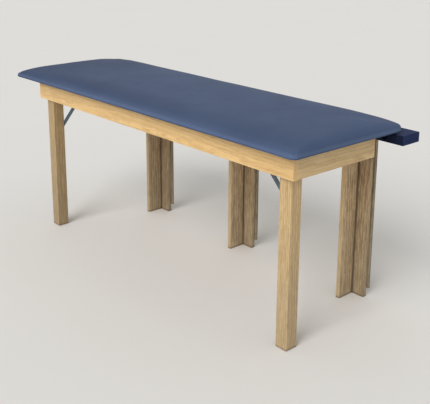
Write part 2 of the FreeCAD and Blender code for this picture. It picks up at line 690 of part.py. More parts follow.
def build_latch():
    depth = "Sizes.wall_y - Sizes.latch_face_y"
    blank = board("latch_blank", ("Sizes.latch_width", depth, "Sizes.latch_height"),
                  ("Sizes.latch_left_x", "Sizes.latch_face_y", "Sizes.latch_bottom_z"), ALONG_Y,
                  dress_size="3 * Sizes.edge_ease")
    middle = "Sizes.latch_left_x + Sizes.latch_width / 2"
    holes = []
    for name, sign in (("low", "-"), ("high", "+")):
        x = "%s %s Sizes.latch_bolt_spacing / 2" % (middle, sign)
        z = "Sizes.latch_bottom_z + Sizes.latch_height / 2"
        holes.append(cylinder("latch_hole_" + name, "Sizes.latch_bolt_hole / 2", depth,
                              (x, "Sizes.latch_face_y", z), "y"))
    seat = ("Sizes.latch_pivot_x", "Sizes.latch_face_y", "Sizes.latch_pivot_z")
    holes.append(cylinder("latch_socket", "Sizes.latch_post_radius", "Sizes.latch_socket_depth", seat, "y"))
    node("latch_block", cut("latch_block", blank, holes))
    stack = "(Sizes.latch_plate_thick + Sizes.latch_plate_gap + Sizes.latch_lever_thick)"
    lever_y = "(Sizes.latch_face_y - %s)" % stack
    width = "Sizes.latch_plate_width"
    plate = box("latch_plate_square", (width, "Sizes.latch_plate_thick", width),
                ("Sizes.latch_pivot_x - %s / 2" % width, "Sizes.latch_face_y - Sizes.latch_plate_thick",
                 "Sizes.latch_pivot_z - %s / 2" % width))
    post = cylinder("latch_post", "Sizes.latch_post_radius", "Sizes.latch_socket_depth + " + stack,
                    ("Sizes.latch_pivot_x", lever_y, "Sizes.latch_pivot_z"), "y")
    node("latch_plate", fuse("latch_plate", [plate, post]))
    half = "Sizes.latch_lever_width / 2"
    arm = box("latch_arm", ("Sizes.latch_lever_length - " + half, "Sizes.latch_lever_thick",
                            "Sizes.latch_lever_width"),
              ("Sizes.latch_pivot_x", lever_y, "Sizes.latch_pivot_z - " + half))
    tip = cylinder("latch_tip", half, "Sizes.latch_lever_thick",
                   ("Sizes.latch_pivot_x + Sizes.latch_lever_length - " + half, lever_y,
                    "Sizes.latch_pivot_z"), "y")
    hub = cylinder("latch_hub", "Sizes.latch_knob_radius", "Sizes.latch_lever_thick",
                   ("Sizes.latch_pivot_x", lever_y, "Sizes.latch_pivot_z"), "y")
    bore = cylinder("latch_bore", "Sizes.latch_post_radius + Sizes.pin_clearance", "Sizes.latch_lever_thick",
                    ("Sizes.latch_pivot_x", lever_y, "Sizes.latch_pivot_z"), "y")
    node("latch_lever", cut("latch_lever", fuse("latch_lever_body", [arm, tip, hub]), [bore]))
    build_knob()


def build_knob():
    # Turned knob on the front of the lever: a straight neck and a round head with a bevelled face.
    front = solve("Sizes.latch_face_y - Sizes.latch_plate_thick - Sizes.latch_plate_gap"
                  " - Sizes.latch_lever_thick")
    neck = size("latch_knob_neck")
    radius = size("latch_knob_radius")
    length = size("latch_knob_length")
    bevel = size("latch_knob_bevel")
    outline = [(0, 0), (neck, 0), (neck, length / 2), (radius, length / 2 + bevel), (radius - bevel, length),
               (0, length)]
    points = [FreeCAD.Vector(size("latch_pivot_x") + out, front - away, size("latch_pivot_z"))
              for out, away in outline]
    profile = Part.Face(Part.makePolygon(points + points[:1]))
    formed("latch_knob", profile.revolve(points[0], ALONG_Y, 360))


for post_side in ("left", "middle", "right"):
    build_post(post_side)
build_rail()
build_pad()
build_hem()
build_rails()
for table_side in ("left", "right"):
    build_top_hinge(table_side)
    build_leg_seat(table_side)
    build_leg(table_side)
    build_track(table_side)
    build_brace(table_side)
build_latch()
doc.recompute()

for item in doc.Objects:
    if "Invalid" in item.State or "Error" in item.State:
        raise RuntimeError("%s failed: %s" % (item.Label, item.State))
for label, item in nodes.items():
    if item.Shape.isNull() or not item.Shape.isValid():
        raise RuntimeError("%s has no valid shape" % label)
for label, item in nodes.items():
    item.Shape.exportStep("parts/%s.step" % label)
    box_now = item.Shape.BoundBox
    print("%-24s solids %d volume %.0f  x %.1f %.1f  y %.1f %.1f  z %.1f %.1f" % (
        label, len(item.Shape.Solids), item.Shape.Volume, box_now.XMin, box_now.XMax,
        box_now.YMin, box_now.YMax, box_now.ZMin, box_now.ZMax))
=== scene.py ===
import math

import bmesh
import bpy
from mathutils import Matrix, Vector, noise


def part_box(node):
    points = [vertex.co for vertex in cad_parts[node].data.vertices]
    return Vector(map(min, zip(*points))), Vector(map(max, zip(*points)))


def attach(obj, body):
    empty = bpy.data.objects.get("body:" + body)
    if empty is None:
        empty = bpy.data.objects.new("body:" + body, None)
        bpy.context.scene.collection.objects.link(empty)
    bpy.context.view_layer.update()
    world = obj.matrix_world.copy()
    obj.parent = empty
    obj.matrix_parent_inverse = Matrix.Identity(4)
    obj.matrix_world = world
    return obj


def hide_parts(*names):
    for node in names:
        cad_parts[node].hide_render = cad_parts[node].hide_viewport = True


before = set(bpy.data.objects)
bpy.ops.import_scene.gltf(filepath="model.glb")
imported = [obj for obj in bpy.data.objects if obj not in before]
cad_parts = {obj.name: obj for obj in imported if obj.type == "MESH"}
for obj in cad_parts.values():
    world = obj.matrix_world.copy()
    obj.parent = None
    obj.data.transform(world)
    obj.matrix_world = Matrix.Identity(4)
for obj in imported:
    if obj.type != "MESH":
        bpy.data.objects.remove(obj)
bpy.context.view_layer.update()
print("frame loaded:", len(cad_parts), "nodes")

scene = bpy.context.scene
scene.view_settings.view_transform = "Standard"


def tint(red, green, blue):  # screen colour 0-255 to the linear colour a shader takes
    def linear(part):
        part /= 255
        return part / 12.92 if part <= 0.04045 else ((part + 0.055) / 1.055) ** 2.4
    return (linear(red), linear(green), linear(blue), 1.0)


class Val:  # a shader value that Python operators can work on
    def __init__(self, finish, socket):
        self.finish = finish
        self.socket = socket

    def op(self, operation, first, second=0.0):
        return self.finish.node("ShaderNodeMath", {"operation": operation}, {0: first, 1: second})

    def __add__(self, other):
        return self.op("ADD", self, other)

    def __radd__(self, other):
        return self.op("ADD", other, self)

    def __sub__(self, other):
        return self.op("SUBTRACT", self, other)

    def __rsub__(self, other):
        return self.op("SUBTRACT", other, self)

    def __mul__(self, other):
        return self.op("MULTIPLY", self, other)

    def __rmul__(self, other):
        return self.op("MULTIPLY", other, self)

    def __abs__(self):
        return self.op("ABSOLUTE", self)

    def fraction(self):
        return self.op("FRACT", self)

    def root(self):
        return self.op("SQRT", self)

    def least(self, other):
        return self.op("MINIMUM", self, other)

    def most(self, other):
        return self.op("MAXIMUM", self, other)

    def step(self, low, high):  # 0 below low, 1 above high, smooth between
        return self.finish.node("ShaderNodeMapRange", {"interpolation_type": "SMOOTHSTEP"},
                                {"Value": self, "From Min": low, "From Max": high})

    def band(self, begin, full, thin, end):  # from 0 up to 1, and down again
        return self.step(begin, full) * (1 - self.step(thin, end))


class Finish:  # one procedural material
    def __init__(self, name, **fixed):
        self.material = bpy.data.materials.new(name)
        self.material.use_nodes = True
        self.tree = self.material.node_tree
        self.shader = self.tree.nodes["Principled BSDF"]
        for socket, value in fixed.items():
            self.shader.inputs[socket.replace("_", " ")].default_value = value
        # the name shifts the pattern, so that no two boards are alike
        self.seed = (sum(ord(letter) * (place + 3) for place, letter in enumerate(name)) % 97) * 0.37

    def node(self, kind, settings=None, sockets=None, output=0):
        made = self.tree.nodes.new(kind)
        for setting, value in (settings or {}).items():
            setattr(made, setting, value)
        for socket, value in (sockets or {}).items():
            self.feed(made.inputs[socket], value)
        return Val(self, made.outputs[output])

    def feed(self, socket, value):
        if isinstance(value, Val):
            self.tree.links.new(value.socket, socket)
        else:
            socket.default_value = value

    def place(self):  # object coordinates as three values
        spot = self.node("ShaderNodeTexCoord", output="Object")
        return [self.node("ShaderNodeSeparateXYZ", None, {0: spot}, axis) for axis in "XYZ"]

    def point(self, x, y, z):
        return self.node("ShaderNodeCombineXYZ", None, {0: x, 1: y, 2: z})

    def cloud(self, at, scale=1.0, detail=2.0, roughness=0.5):
        return self.node("ShaderNodeTexNoise", {"noise_dimensions": "3D"},
                         {"Vector": at, "Scale": scale, "Detail": detail, "Roughness": roughness})

    def cells(self, at, scale):
        return self.node("ShaderNodeTexVoronoi", {"feature": "F1"}, {"Vector": at, "Scale": scale})

    def mix(self, share, first, second):
        return self.node("ShaderNodeMix", {"data_type": "RGBA"}, {0: share, 6: first, 7: second}, 2)

    def edge(self, box, width):  # 1 along the edges of a box-shaped piece, 0 on its faces
        nearest = []
        for value, low, high in zip(self.place(), box[0], box[1]):
            nearest.append((value - low).least(high - value))
        first, second, third = nearest
        middle = first.least(second).most(first.most(second).least(third))
        return 1 - middle.step(0.0, width)

    def front(self, box, full=0.0004, none=0.0014):  # 1 on the face that looks away from the wall
        return 1 - (self.place()[1] - box[0].y).step(full, none)

    def bump(self, height, distance, strength):
        normal = self.node("ShaderNodeBump", None,
                           {"Strength": strength, "Distance": distance, "Height": height})
        self.feed(self.shader.inputs["Normal"], normal)

    def show(self, **links):
        for socket, value in links.items():
            self.feed(self.shader.inputs[socket.replace("_", " ")], value)
        return self.material


def dress(node, material):  # give a CAD node its finish
    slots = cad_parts[node].data.materials
    slots.clear()
    slots.append(material)


faceOrder = Vector((1.0, 41.3, 977.7))  # sorting along a slant keeps a mesh the same in every run


def settle(bm, name, body, material, smooth=True):  # bmesh to a piece that rides on a body
    bm.faces.sort(key=lambda face: face.calc_center_median().dot(faceOrder))
    mesh = bpy.data.meshes.new(name)
    bm.to_mesh(mesh)
    bm.free()
    for face in mesh.polygons:
        face.use_smooth = smooth
    piece = bpy.data.objects.new(name, mesh)
    scene.collection.objects.link(piece)
    mesh.materials.append(material)
    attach(piece, body)
    return piece


def cutAcross(bm, axis, level, merge):  # a loop of edges where a plane cuts the mesh
    spot, normal = Vector(), Vector()
    spot[axis], normal[axis] = level, 1.0
    bmesh.ops.bisect_plane(bm, geom=bm.verts[:] + bm.edges[:] + bm.faces[:], plane_co=spot,
                           plane_no=normal, dist=merge)


def between(low, high, share):
    return low + (high - low) * share


# wood

oakLook = {
    "light": tint(233, 197, 138),
    "mid": tint(219, 179, 117),
    "dark": tint(188, 144, 92),
    "pore": tint(118, 86, 54),
    "ringWidth": 0.0075,  # metres between growth rings
    "ringDepth": 0.26,
    "fibreDepth": 0.30,
    "poreDepth": 0.40,
    "streak": 170.0,  # streaks per metre across the grain
    "flow": 6.0,  # and along it
    "pith": (0.070, 0.034),  # growth centre, off the middle of the board
    "joint": tint(92, 80, 70),  # where two boards meet: a glue stain, and painted shade in the inside corner
    "jointShare": 0.75,
    "front": tint(224, 192, 136),  # painted light: the front face of a post, paler where the light falls on it
    "frontLightShare": 0.0,
    "rub": tint(234, 206, 156),  # worn edges
    "rubWidth": 0.0035,
    "rubShare": 0.5,
    "floorShade": tint(146, 133, 110),  # painted shade: upright boards darker and greyer towards the floor
    "floorShadeHeight": 0.6,
    "floorShadeShare": 0.4,
    "foot": (0.003, 0.012),  # and are dark up to here
    "footShare": 0.55,
    "rough": 0.38,
}
endLook = dict(oakLook, light=tint(227, 197, 146), mid=tint(208, 176, 125), dark=tint(174, 137, 93))
legLook = dict(oakLook, light=tint(214, 185, 136), mid=tint(184, 154, 108), dark=tint(134, 105, 71),
               pore=tint(106, 80, 52), ringWidth=0.0085, ringDepth=0.34, poreDepth=0.5, flow=12.0)
postLook = dict(oakLook, light=tint(231, 204, 162), mid=tint(177, 149, 113), dark=tint(113, 90, 64),
                pore=tint(78, 60, 42), rub=tint(216, 188, 142), floorShade=tint(122, 113, 96),
                ringWidth=0.0095, ringDepth=0.42, poreDepth=0.65, streak=150.0, flow=18.0,
                pith=(0.055, 0.050))
# painted shade: the wall cleats darker, as they lie in shade against the wall
shadedCleatLook = dict(postLook, light=tint(150, 136, 114), mid=tint(116, 103, 84), dark=tint(80, 69, 54))
plyLook = dict(oakLook, light=tint(220, 178, 118), mid=tint(204, 158, 98), dark=tint(170, 122, 72),
               ringWidth=0.020, ringDepth=0.36, poreDepth=0.25, streak=60.0, pith=(0.30, 0.10))
# dark-toned wood for the leg cleats
darkWoodLook = dict(oakLook, light=tint(46, 46, 54), mid=tint(36, 36, 44), dark=tint(24, 24, 30),
                 pore=tint(14, 14, 18), rub=tint(70, 66, 64))
postShadeTone = {"left": 0.82, "middle": 0.98, "right": 1.0}  # painted shade: posts darker towards the left, where the light falls off
# painted shade: flanges darker, in the shade of the top
flangeShadeTone = 0.82
# painted shade: the left leg darker, where the light falls off
legShadeTone = {"left": 0.76, "right": 1.0}
postShape = {"webFrontLight": 0.5, "webSeam": 0.010, "flangeSeam": 0.008}
grain = {
    # waves per metre along and across the board, detail, roughness, and the coordinate that the seed shifts
    "wander": (2.2, 10.0, 3.0, 0.5, 0),
    "drift": (1.1, 2.0, 1.0, 0.5, 2),
    "ripple": (17.0, 55.0, 2.0, 0.5, 0),
    "fibres": 520.0,  # per metre across the board
    "pores": 1250.0,
    "fibreFlow": 3,  # times the look's own flow along it
    "poreFlow": 5,
    "pithDrift": 0.030,  # metres
    "pithSlant": 0.018,  # metres per metre of board
    "ringWander": 0.018,
    "ringRipple": 0.007,
    "sway": 0.014,
    "jointRipple": 0.008,
    "earlyWood": (0.02, 0.14, 0.30, 0.75),  # open grain, in shares of a growth ring
    "relief": 0.0004,
}


def toned(look, share):  # the same wood, a share darker
    parts = {}
    for part in ("light", "mid", "dark", "rub", "floorShade", "front"):
        parts[part] = (*(channel * share for channel in look[part][:3]), 1.0)
    return dict(look, **parts)


def woodFinish(name, look, node, along, jointLine=None):
    f = Finish(name, Specular_IOR_Level=0.4, Coat_Roughness=0.32, Coat_Weight=0.10)
    low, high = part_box(node)
    middle = dict(zip("xyz", (low + high) / 2))
    spot = dict(zip("xyz", f.place()))
    first, second = (axis for axis in "xyz" if axis != along)
    run, across, up = spot[along] - middle[along], spot[first], spot[second]

    def streaks(alongWaves, crossWaves, detail, roughness, shifted, sway=None):
        sides = (across, up) if sway is None else (across + sway, up + sway)
        at = [run * alongWaves] + [side * crossWaves for side in sides]
        at[shifted] = at[shifted] + f.seed
        return f.cloud(f.point(*at), 1.0, detail, roughness)

    wander, drift, ripple = (streaks(*grain[kind]) - 0.5 for kind in ("wander", "drift", "ripple"))
    offAcross = across - middle[first] - look["pith"][0] + drift * grain["pithDrift"]
    offUp = up - middle[second] + look["pith"][1] + run * grain["pithSlant"]
    reach = (offAcross * offAcross + offUp * offUp).root()
    reach = reach + wander * grain["ringWander"] + ripple * grain["ringRipple"]
    early = (reach * (1 / look["ringWidth"])).fraction().band(*grain["earlyWood"])
    sway = ripple * grain["sway"] + wander * grain["sway"]
    figure = streaks(look["flow"], look["streak"], 4.0, 0.62, 0, sway)
    fibre = streaks(look["flow"] * grain["fibreFlow"], grain["fibres"], 3.0, 0.65, 1, sway)
    dash = streaks(look["flow"] * grain["poreFlow"], grain["pores"], 1.0, 0.5, 2)
    pores = dash.step(0.56, 0.70) * (early * 0.75 + 0.25)  # mostly in the open grain
    colour = f.mix(figure.step(0.32, 0.70), look["light"], look["mid"])
    colour = f.mix(early * look["ringDepth"] * (figure * 0.9 + 0.35), colour, look["dark"])
    colour = f.mix(fibre.step(0.45, 0.80) * look["fibreDepth"], colour, look["dark"])
    colour = f.mix(pores * look["poreDepth"], colour, look["pore"])
    rub = f.edge((low, high), look["rubWidth"]) * f.cloud(f.point(*spot.values()), 30.0).step(0.35, 0.65)
    colour = f.mix(rub * look["rubShare"], colour, look["rub"])
    # painted light: the front face paler
    if look["frontLightShare"]:
        colour = f.mix(f.front((low, high)) * look["frontLightShare"], colour, look["front"])
    if along == "z":
        # painted shade, darker and greyer towards the floor
        floorShadeMask = 1 - spot["z"].step(0.0, look["floorShadeHeight"])
        colour = f.mix(floorShadeMask * look["floorShadeShare"], colour, look["floorShade"])
        foot = 1 - spot["z"].step(*look["foot"])
        colour = f.mix(foot * look["footShare"], colour, look["pore"])
    # a glue stain and painted shade along the inside corner where web and flange meet
    if jointLine:
        axis, level, width = jointLine
        seam = 1 - abs(spot[axis] - level + ripple * grain["jointRipple"]).step(width * 0.25, width)
        colour = f.mix(seam * look["jointShare"], colour, look["joint"])
    f.bump(fibre * 0.5 - pores * 0.9 - early * 0.2, grain["relief"], 0.6)
    return f.show(Base_Color=colour, Roughness=fibre * 0.16 + pores * 0.15 + look["rough"] - rub * 0.06)


for side, tone in postShadeTone.items():
    web, flange, cleat = "post_web_" + side, "post_flange_" + side, "wall_cleat_" + side
    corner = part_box(web)[1]  # where web and flange meet
    webLook = dict(toned(postLook, tone), frontLightShare=postShape["webFrontLight"])
    webSeam = ("y", corner.y, postShape["webSeam"])
    dress(web, woodFinish("oakWeb" + side.title(), webLook, web, "z", webSeam))
    flangeLook = toned(postLook, tone * flangeShadeTone)
    flangeSeam = ("x", corner.x, postShape["flangeSeam"])
    dress(flange, woodFinish("oakFlange" + side.title(), flangeLook, flange, "z", flangeSeam))
    # the wall cleat in painted shade
    dress(cleat, woodFinish("oakCleat" + side.title(), shadedCleatLook, cleat, "z"))
dress("front_rail", woodFinish("oakFrontRail", oakLook, "front_rail", "x"))
dress("end_rail", woodFinish("oakEndRail", endLook, "end_rail", "y"))
dress("deck", woodFinish("plywoodDeck", plyLook, "deck", "x"))
for side, tone in legShadeTone.items():
    dress("leg_" + side, woodFinish("oakLeg" + side.title(), toned(legLook, tone), "leg_" + side, "z"))
    dress("leg_cleat_" + side, woodFinish("darkCleat" + side.title(), darkWoodLook, "leg_cleat_" + side, "x"))
print("wood finishes on")


# dark blue laminate on the rail, ledger and latch block

laminateLook = {
    "face": tint(36, 50, 88),
    "deep": tint(27, 39, 72),
    "rub": tint(66, 82, 118),
    "rubWidth": 0.003,
    "rubShare": 0.6,
    "edge": tint(14, 15, 22),  # painted shade on the front face, under the cushion
    "frontShadeShare": {"hinge_rail": 0.65, "wall_ledger": 0.0, "latch_block": 0.0},
    "relief": 0.0001,
    "rough": 0.42,
}


def laminateFinish(name, node, look):
    f = Finish(name, Specular_IOR_Level=0.06)
    spot = f.point(*f.place())
    speck = f.cloud(spot, 900.0, 2.0, 0.7)
    drift = f.cloud(spot, 7.0, 3.0)
    colour = f.mix(drift.step(0.3, 0.7) * 0.6 + speck * 0.3, look["face"], look["deep"])
    rub = f.edge(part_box(node), look["rubWidth"]) * f.cloud(spot, 45.0).step(0.4, 0.7)
    colour = f.mix(rub * look["rubShare"], colour, look["rub"])
    # painted shade on the hinge rail's front face
    colour = f.mix(f.front(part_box(node)) * look["frontShadeShare"][node], colour, look["edge"])
    f.bump(speck, look["relief"], 0.5)
    return f.show(Base_Color=colour, Roughness=speck * 0.15 + look["rough"] + drift * 0.08)


for node in ("hinge_rail", "wall_ledger", "latch_block"):
    dress(node, laminateFinish("laminate_" + node, node, laminateLook))


# metal

steelLook = {
    "zinc": dict(face=tint(176, 180, 182), deep=tint(132, 137, 140), metallic=1.0, rough=0.30),
    "grey": dict(face=tint(94, 110, 121), deep=tint(70, 83, 93), metallic=0.35, rough=0.40),
    "chrome": dict(face=tint(214, 216, 218), deep=tint(190, 193, 196), metallic=1.0, rough=0.10),
    "relief": 0.00008,
}


def metalFinish(name, look, stretch):  # stretch is brush lines per metre along x, y and z
    f = Finish(name)
    x, y, z = f.place()
    lines = f.cloud(f.point(x * stretch[0], y * stretch[1], z * stretch[2]), 1.0, 3.0, 0.6)
    stain = f.cloud(f.point(x, y, z), 38.0, 4.0, 0.6).step(0.45, 0.75)
    colour = f.mix(lines * 0.6 + stain * 0.35, look["face"], look["deep"])
    f.bump(lines, steelLook["relief"], 0.5)
    return f.show(Base_Color=colour, Metallic=look["metallic"] - stain * 0.15,
                  Roughness=lines * 0.14 + stain * 0.16 + look["rough"])


zincAlongX = metalFinish("zincAlongX", steelLook["zinc"], (40, 2200, 2200))
zincAlongY = metalFinish("zincAlongY", steelLook["zinc"], (2200, 40, 2200))
greyEnamel = metalFinish("greyEnamel", steelLook["grey"], (600, 600, 600))
chromePlate = metalFinish("chromePlate", steelLook["chrome"], (900, 60, 900))
for side in ("left", "right"):
    for node in ("rail_leaf_", "deck_leaf_", "top_hinge_pin_"):
        dress(node + side, zincAlongX)
    for node in ("leg_leaf_", "cleat_leaf_", "leg_hinge_pin_", "brace_stud_", "brace_pin_"):
        dress(node + side, zincAlongY)
    for node in ("brace_bar_", "brace_track_"):
        dress(node + side, greyEnamel)
dress("latch_plate", chromePlate)
dress("latch_lever", zincAlongX)


# nylon foot glides

nylonLook = {
    "face": tint(34, 34, 36),
    "worn": tint(52, 52, 54),
    "grit": 1400.0,  # grains per metre
    "relief": 0.0001,
    "rough": 0.5,
}


def nylonFinish(look):
    f = Finish("blackNylon")
    grit = f.cloud(f.point(*f.place()), look["grit"])
    colour = f.mix(grit, look["face"], look["worn"])
    f.bump(grit, look["relief"], 0.6)
    return f.show(Base_Color=colour, Roughness=grit * 0.2 + look["rough"])


blackNylon = nylonFinish(nylonLook)
for side in ("left", "right"):
    dress("foot_glide_" + side, blackNylon)
print("laminate, metal and nylon finishes on")


# vinyl cushion

vinylLook = {
    "face": tint(76, 92, 122),
    "deep": tint(71, 86, 115),
    "paintedShade": tint(57, 71, 98),  # painted shade along the front and towards the left end
    # painted shade in the hollows of the pebble grain
    "pebbleShade": tint(54, 67, 94),
    "lipHighlight": tint(100, 116, 146),  # painted highlight along the lip
}
vinylGrain = {
    "pebbles": 1150.0,  # per metre
    "crumples": 420.0,
    "relief": 0.0003,
    "rough": 0.44,
    "frontBand": (0.012, 0.050, 0.070, 0.190),  # metres in from the front edge
    "bandFade": (0.4, 1.8),  # metres from the left end, over which the painted shade fades
    "bandLoss": 0.65,
    "leftEnd": (0.10, 0.60),
    "paintedShadeShare": 0.7,
    "pebbleShadeShare": 0.45,
    "lipHighlightBand": (0.004, 0.009, 0.012, 0.022),  # metres up from the lower edge
    "lipHighlightShare": 0.32,
}
cushionShape = {
    "lip": 0.0166,  # edge height along the front
    "heel": 0.0370,  # and along the wall side
    "endLip": 0.0165,
    "crown": 0.0198,
    "leastCrown": 0.0005,
    "shoulder": 4.4,  # how squarely the top rolls over to its sides
    "endRun": 0.245,  # the sides rise over this length
    "endRise": 0.42,
    "endRoll": 0.032,  # and the crown over this one
    "endRound": 2.5,
    "corner": 0.025,
    "topRoll": 0.0062,
    "baseRoll": 0.0058,
    "baseInset": 0.010,  # further in than this, the base lies inside the deck
    "baseLift": 0.005,
    "draw": 0.004,  # sides pulled in at their middles
    "grid": 0.018,
    "edgeCuts": (0.004, 0.009, 0.015, 0.022, 0.030, 0.040, 0.052, 0.067, 0.085),
    "tucks": 3,  # where the cover turns each corner
    "tuckDepth": 0.0007,
    "tuckReach": 0.6,
    "tuckHeight": 0.75,
    "unevenness": 0.0008,
    "dimples": 5,  # per metre
    "pressure": 3.0,
    "stiffness": 40,
    "bending": 4,
    "frames": 20,
    "heldHeight": 0.007,
    "swell": 0.0025,  # most that a point may move
}


def vinylFinish(name, look, shape=vinylGrain):
    f = Finish(name, Specular_IOR_Level=0.05)
    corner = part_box("cushion")[0]
    x, y, z = f.place()
    spot = f.point(x, y, z)
    pebble = f.cells(spot, shape["pebbles"])
    crumple = f.cloud(spot, shape["crumples"], 3.0, 0.6)
    drift = f.cloud(spot, 5.0, 3.0)
    rubbed = f.cloud(spot, 16.0, 4.0, 0.65).step(0.5, 0.78)
    colour = f.mix(drift.step(0.3, 0.7), look["face"], look["deep"])
    along = x - corner.x
    # painted shade: a band behind the front lip that fades to the right, and the left end
    band = (y - corner.y).band(*shape["frontBand"]) * (1 - along.step(*shape["bandFade"]) * shape["bandLoss"])
    paintedShade = band.most(1 - along.step(*shape["leftEnd"]))
    colour = f.mix(paintedShade * shape["paintedShadeShare"], colour, look["paintedShade"])
    # painted shade in the hollows of the pebble grain
    colour = f.mix(pebble.step(0.45, 0.85) * shape["pebbleShadeShare"], colour, look["pebbleShade"])
    # painted highlight along the lip
    lipHighlight = (z - corner.z).band(*shape["lipHighlightBand"])
    colour = f.mix(lipHighlight * shape["lipHighlightShare"], colour, look["lipHighlight"])
    f.bump(pebble * -0.7 + crumple * 0.6, shape["relief"], 0.55)
    return f.show(Base_Color=colour, Roughness=crumple * 0.14 + rubbed * 0.08 + shape["rough"])


slateVinyl = vinylFinish("slateVinyl", vinylLook)


def padHeight(x, y, low, high, shape):  # height of the cover over its lower edge
    run = max(min(x - low.x, high.x - x), 0.0)
    rise = math.sin(0.5 * math.pi * min(run / shape["endRun"], 1.0)) ** shape["endRise"]
    roll = 1 - (1 - min(run / shape["endRoll"], 1.0)) ** shape["endRound"]
    lip = shape["endLip"] + (shape["lip"] - shape["endLip"]) * rise
    heel = shape["endLip"] + (shape["heel"] - shape["endLip"]) * rise
    share = max(min((y - low.y) / (high.y - low.y) * 2 - 1, 1.0), -1.0)
    crown = max(shape["crown"] * roll, shape["leastCrown"])
    return (lip + heel) / 2 + share * (heel - lip) / 2 + crown * (1 - abs(share) ** shape["shoulder"])


def makeCushion(shape):
    low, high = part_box("cushion")
    size = high - low
    middle = (low + high) / 2
    half = size / 2
    bm = bmesh.new()
    bmesh.ops.create_cube(bm, size=1.0)
    bmesh.ops.scale(bm, vec=(size.x, size.y, shape["lip"]), verts=bm.verts)
    bmesh.ops.translate(bm, vec=(middle.x, middle.y, low.z + shape["lip"] / 2), verts=bm.verts)
    upright = [e for e in bm.edges if abs(e.verts[0].co.z - e.verts[1].co.z) > 0.001]
    bmesh.ops.bevel(bm, geom=upright, affect="EDGES", offset=shape["corner"], segments=10, profile=0.5,
                    material=-1)
    for level, roll in ((low.z + shape["lip"], shape["topRoll"]), (low.z, shape["baseRoll"])):
        rim = [e for e in bm.edges if all(abs(v.co.z - level) < 1e-5 for v in e.verts)]
        bmesh.ops.bevel(bm, geom=rim, affect="EDGES", offset=roll, segments=5, profile=0.5, material=-1)
    edgeCuts = list(shape["edgeCuts"][:-1])
    lastCut = shape["edgeCuts"][-1]
    for axis in (0, 1):
        inner = size[axis] - 2 * lastCut
        count = round(inner / shape["grid"])
        cuts = [lastCut + inner * k / count for k in range(count + 1)]
        cuts += edgeCuts + [size[axis] - cut for cut in edgeCuts]
        for cut in cuts:
            cutAcross(bm, axis, low[axis] + cut, 1e-5)
    bmesh.ops.remove_doubles(bm, verts=bm.verts, dist=2e-5)
    for vert in bm.verts:
        x, y, z = vert.co
        share = (z - low.z) / shape["lip"]
        off = vert.co - middle
        dimple = noise.noise(Vector((x * shape["dimples"], y * shape["dimples"], 3.1)))
        uneven = dimple * shape["unevenness"] * share
        vert.co.z = low.z + share * padHeight(x, y, low, high, shape) + uneven
        inside = min(half.x - abs(off.x), half.y - abs(off.y))
        if share < 0.01 and inside > shape["baseInset"]:
            vert.co.z += shape["baseLift"]
        pull = 1 - min(abs(off.x) / (half.x - shape["corner"]), 1.0) ** 2
        vert.co.y -= math.copysign(shape["draw"] * pull, off.y) * (abs(off.y) / half.y) ** 2
        turn = Vector((abs(off.x) - half.x + shape["corner"], abs(off.y) - half.y + shape["corner"]))
        outer = turn.x > 0 and turn.y > 0 and turn.length > shape["corner"] * shape["tuckReach"]
        if outer and share < shape["tuckHeight"]:
            angle = math.atan2(turn.y, turn.x)
            fold = math.cos(angle * 4 * shape["tucks"]) * shape["tuckDepth"] * (1 - share)
            vert.co.x -= math.copysign(fold * turn.x / turn.length, off.x)
            vert.co.y -= math.copysign(fold * turn.y / turn.length, off.y)
    bmesh.ops.recalc_face_normals(bm, faces=bm.faces)
    return bm


def swellCushion(piece, shape):  # air pressure fills the vinyl, with the lower lip held
    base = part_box("cushion")[0].z
    mesh = piece.data
    start = [vert.co.copy() for vert in mesh.vertices]
    held = piece.vertex_groups.new(name="held")
    held.add([i for i, co in enumerate(start) if co.z < base + shape["heldHeight"]], 1.0, "REPLACE")
    cloth = piece.modifiers.new("cloth", "CLOTH")
    cloth.settings.use_pressure = True
    cloth.settings.uniform_pressure_force = shape["pressure"]
    cloth.settings.vertex_group_mass = "held"
    cloth.settings.tension_stiffness = shape["stiffness"]
    cloth.settings.compression_stiffness = shape["stiffness"]
    cloth.settings.bending_stiffness = shape["bending"]
    cloth.settings.effector_weights.gravity = 0
    cloth.point_cache.frame_start = 1
    cloth.point_cache.frame_end = shape["frames"]
    for step in range(1, shape["frames"] + 1):
        scene.frame_set(step)
    seen = piece.evaluated_get(bpy.context.evaluated_depsgraph_get())
    moved = [vert.co.copy() for vert in seen.data.vertices]
    piece.modifiers.remove(cloth)
    scene.frame_set(1)
    for vert, first, last in zip(mesh.vertices, start, moved):
        shift = last - first
        if shift.length > shape["swell"]:
            shift *= shape["swell"] / shift.length
        vert.co = first + shift
    piece.vertex_groups.remove(held)


cushion = settle(makeCushion(cushionShape), "cushionCover", "top", slateVinyl)
swellCushion(cushion, cushionShape)
print("cushion swelled")
rounding = cushion.modifiers.new("rounding", "SUBSURF")
rounding.levels = 1
rounding.render_levels = 1
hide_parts("cushion")
print("cushion made")


# vinyl turned under the deck

hemShape = {
    "corner": 0.0232,
    "railGap": 0.0008,
    "deckGap": 0.0001,
    "pulls": 5,  # staples draw the back edge into scallops
    "pullDepth": 0.022,
    "pullSharpness": 5,
    "pullReach": 0.05,
    "pullRows": (0.03, 0.02),  # loops of edges behind the scallops
    "waveDepth": 0.0004,
    "waves": 26,  # per metre
    "step": 0.009,
    "thick": 0.0007,
}
hemLook = {"face": tint(30, 36, 57), "deep": tint(23, 28, 46), "paintedShade": tint(26, 32, 51),
           "pebbleShade": tint(16, 20, 34), "lipHighlight": tint(36, 43, 66)}


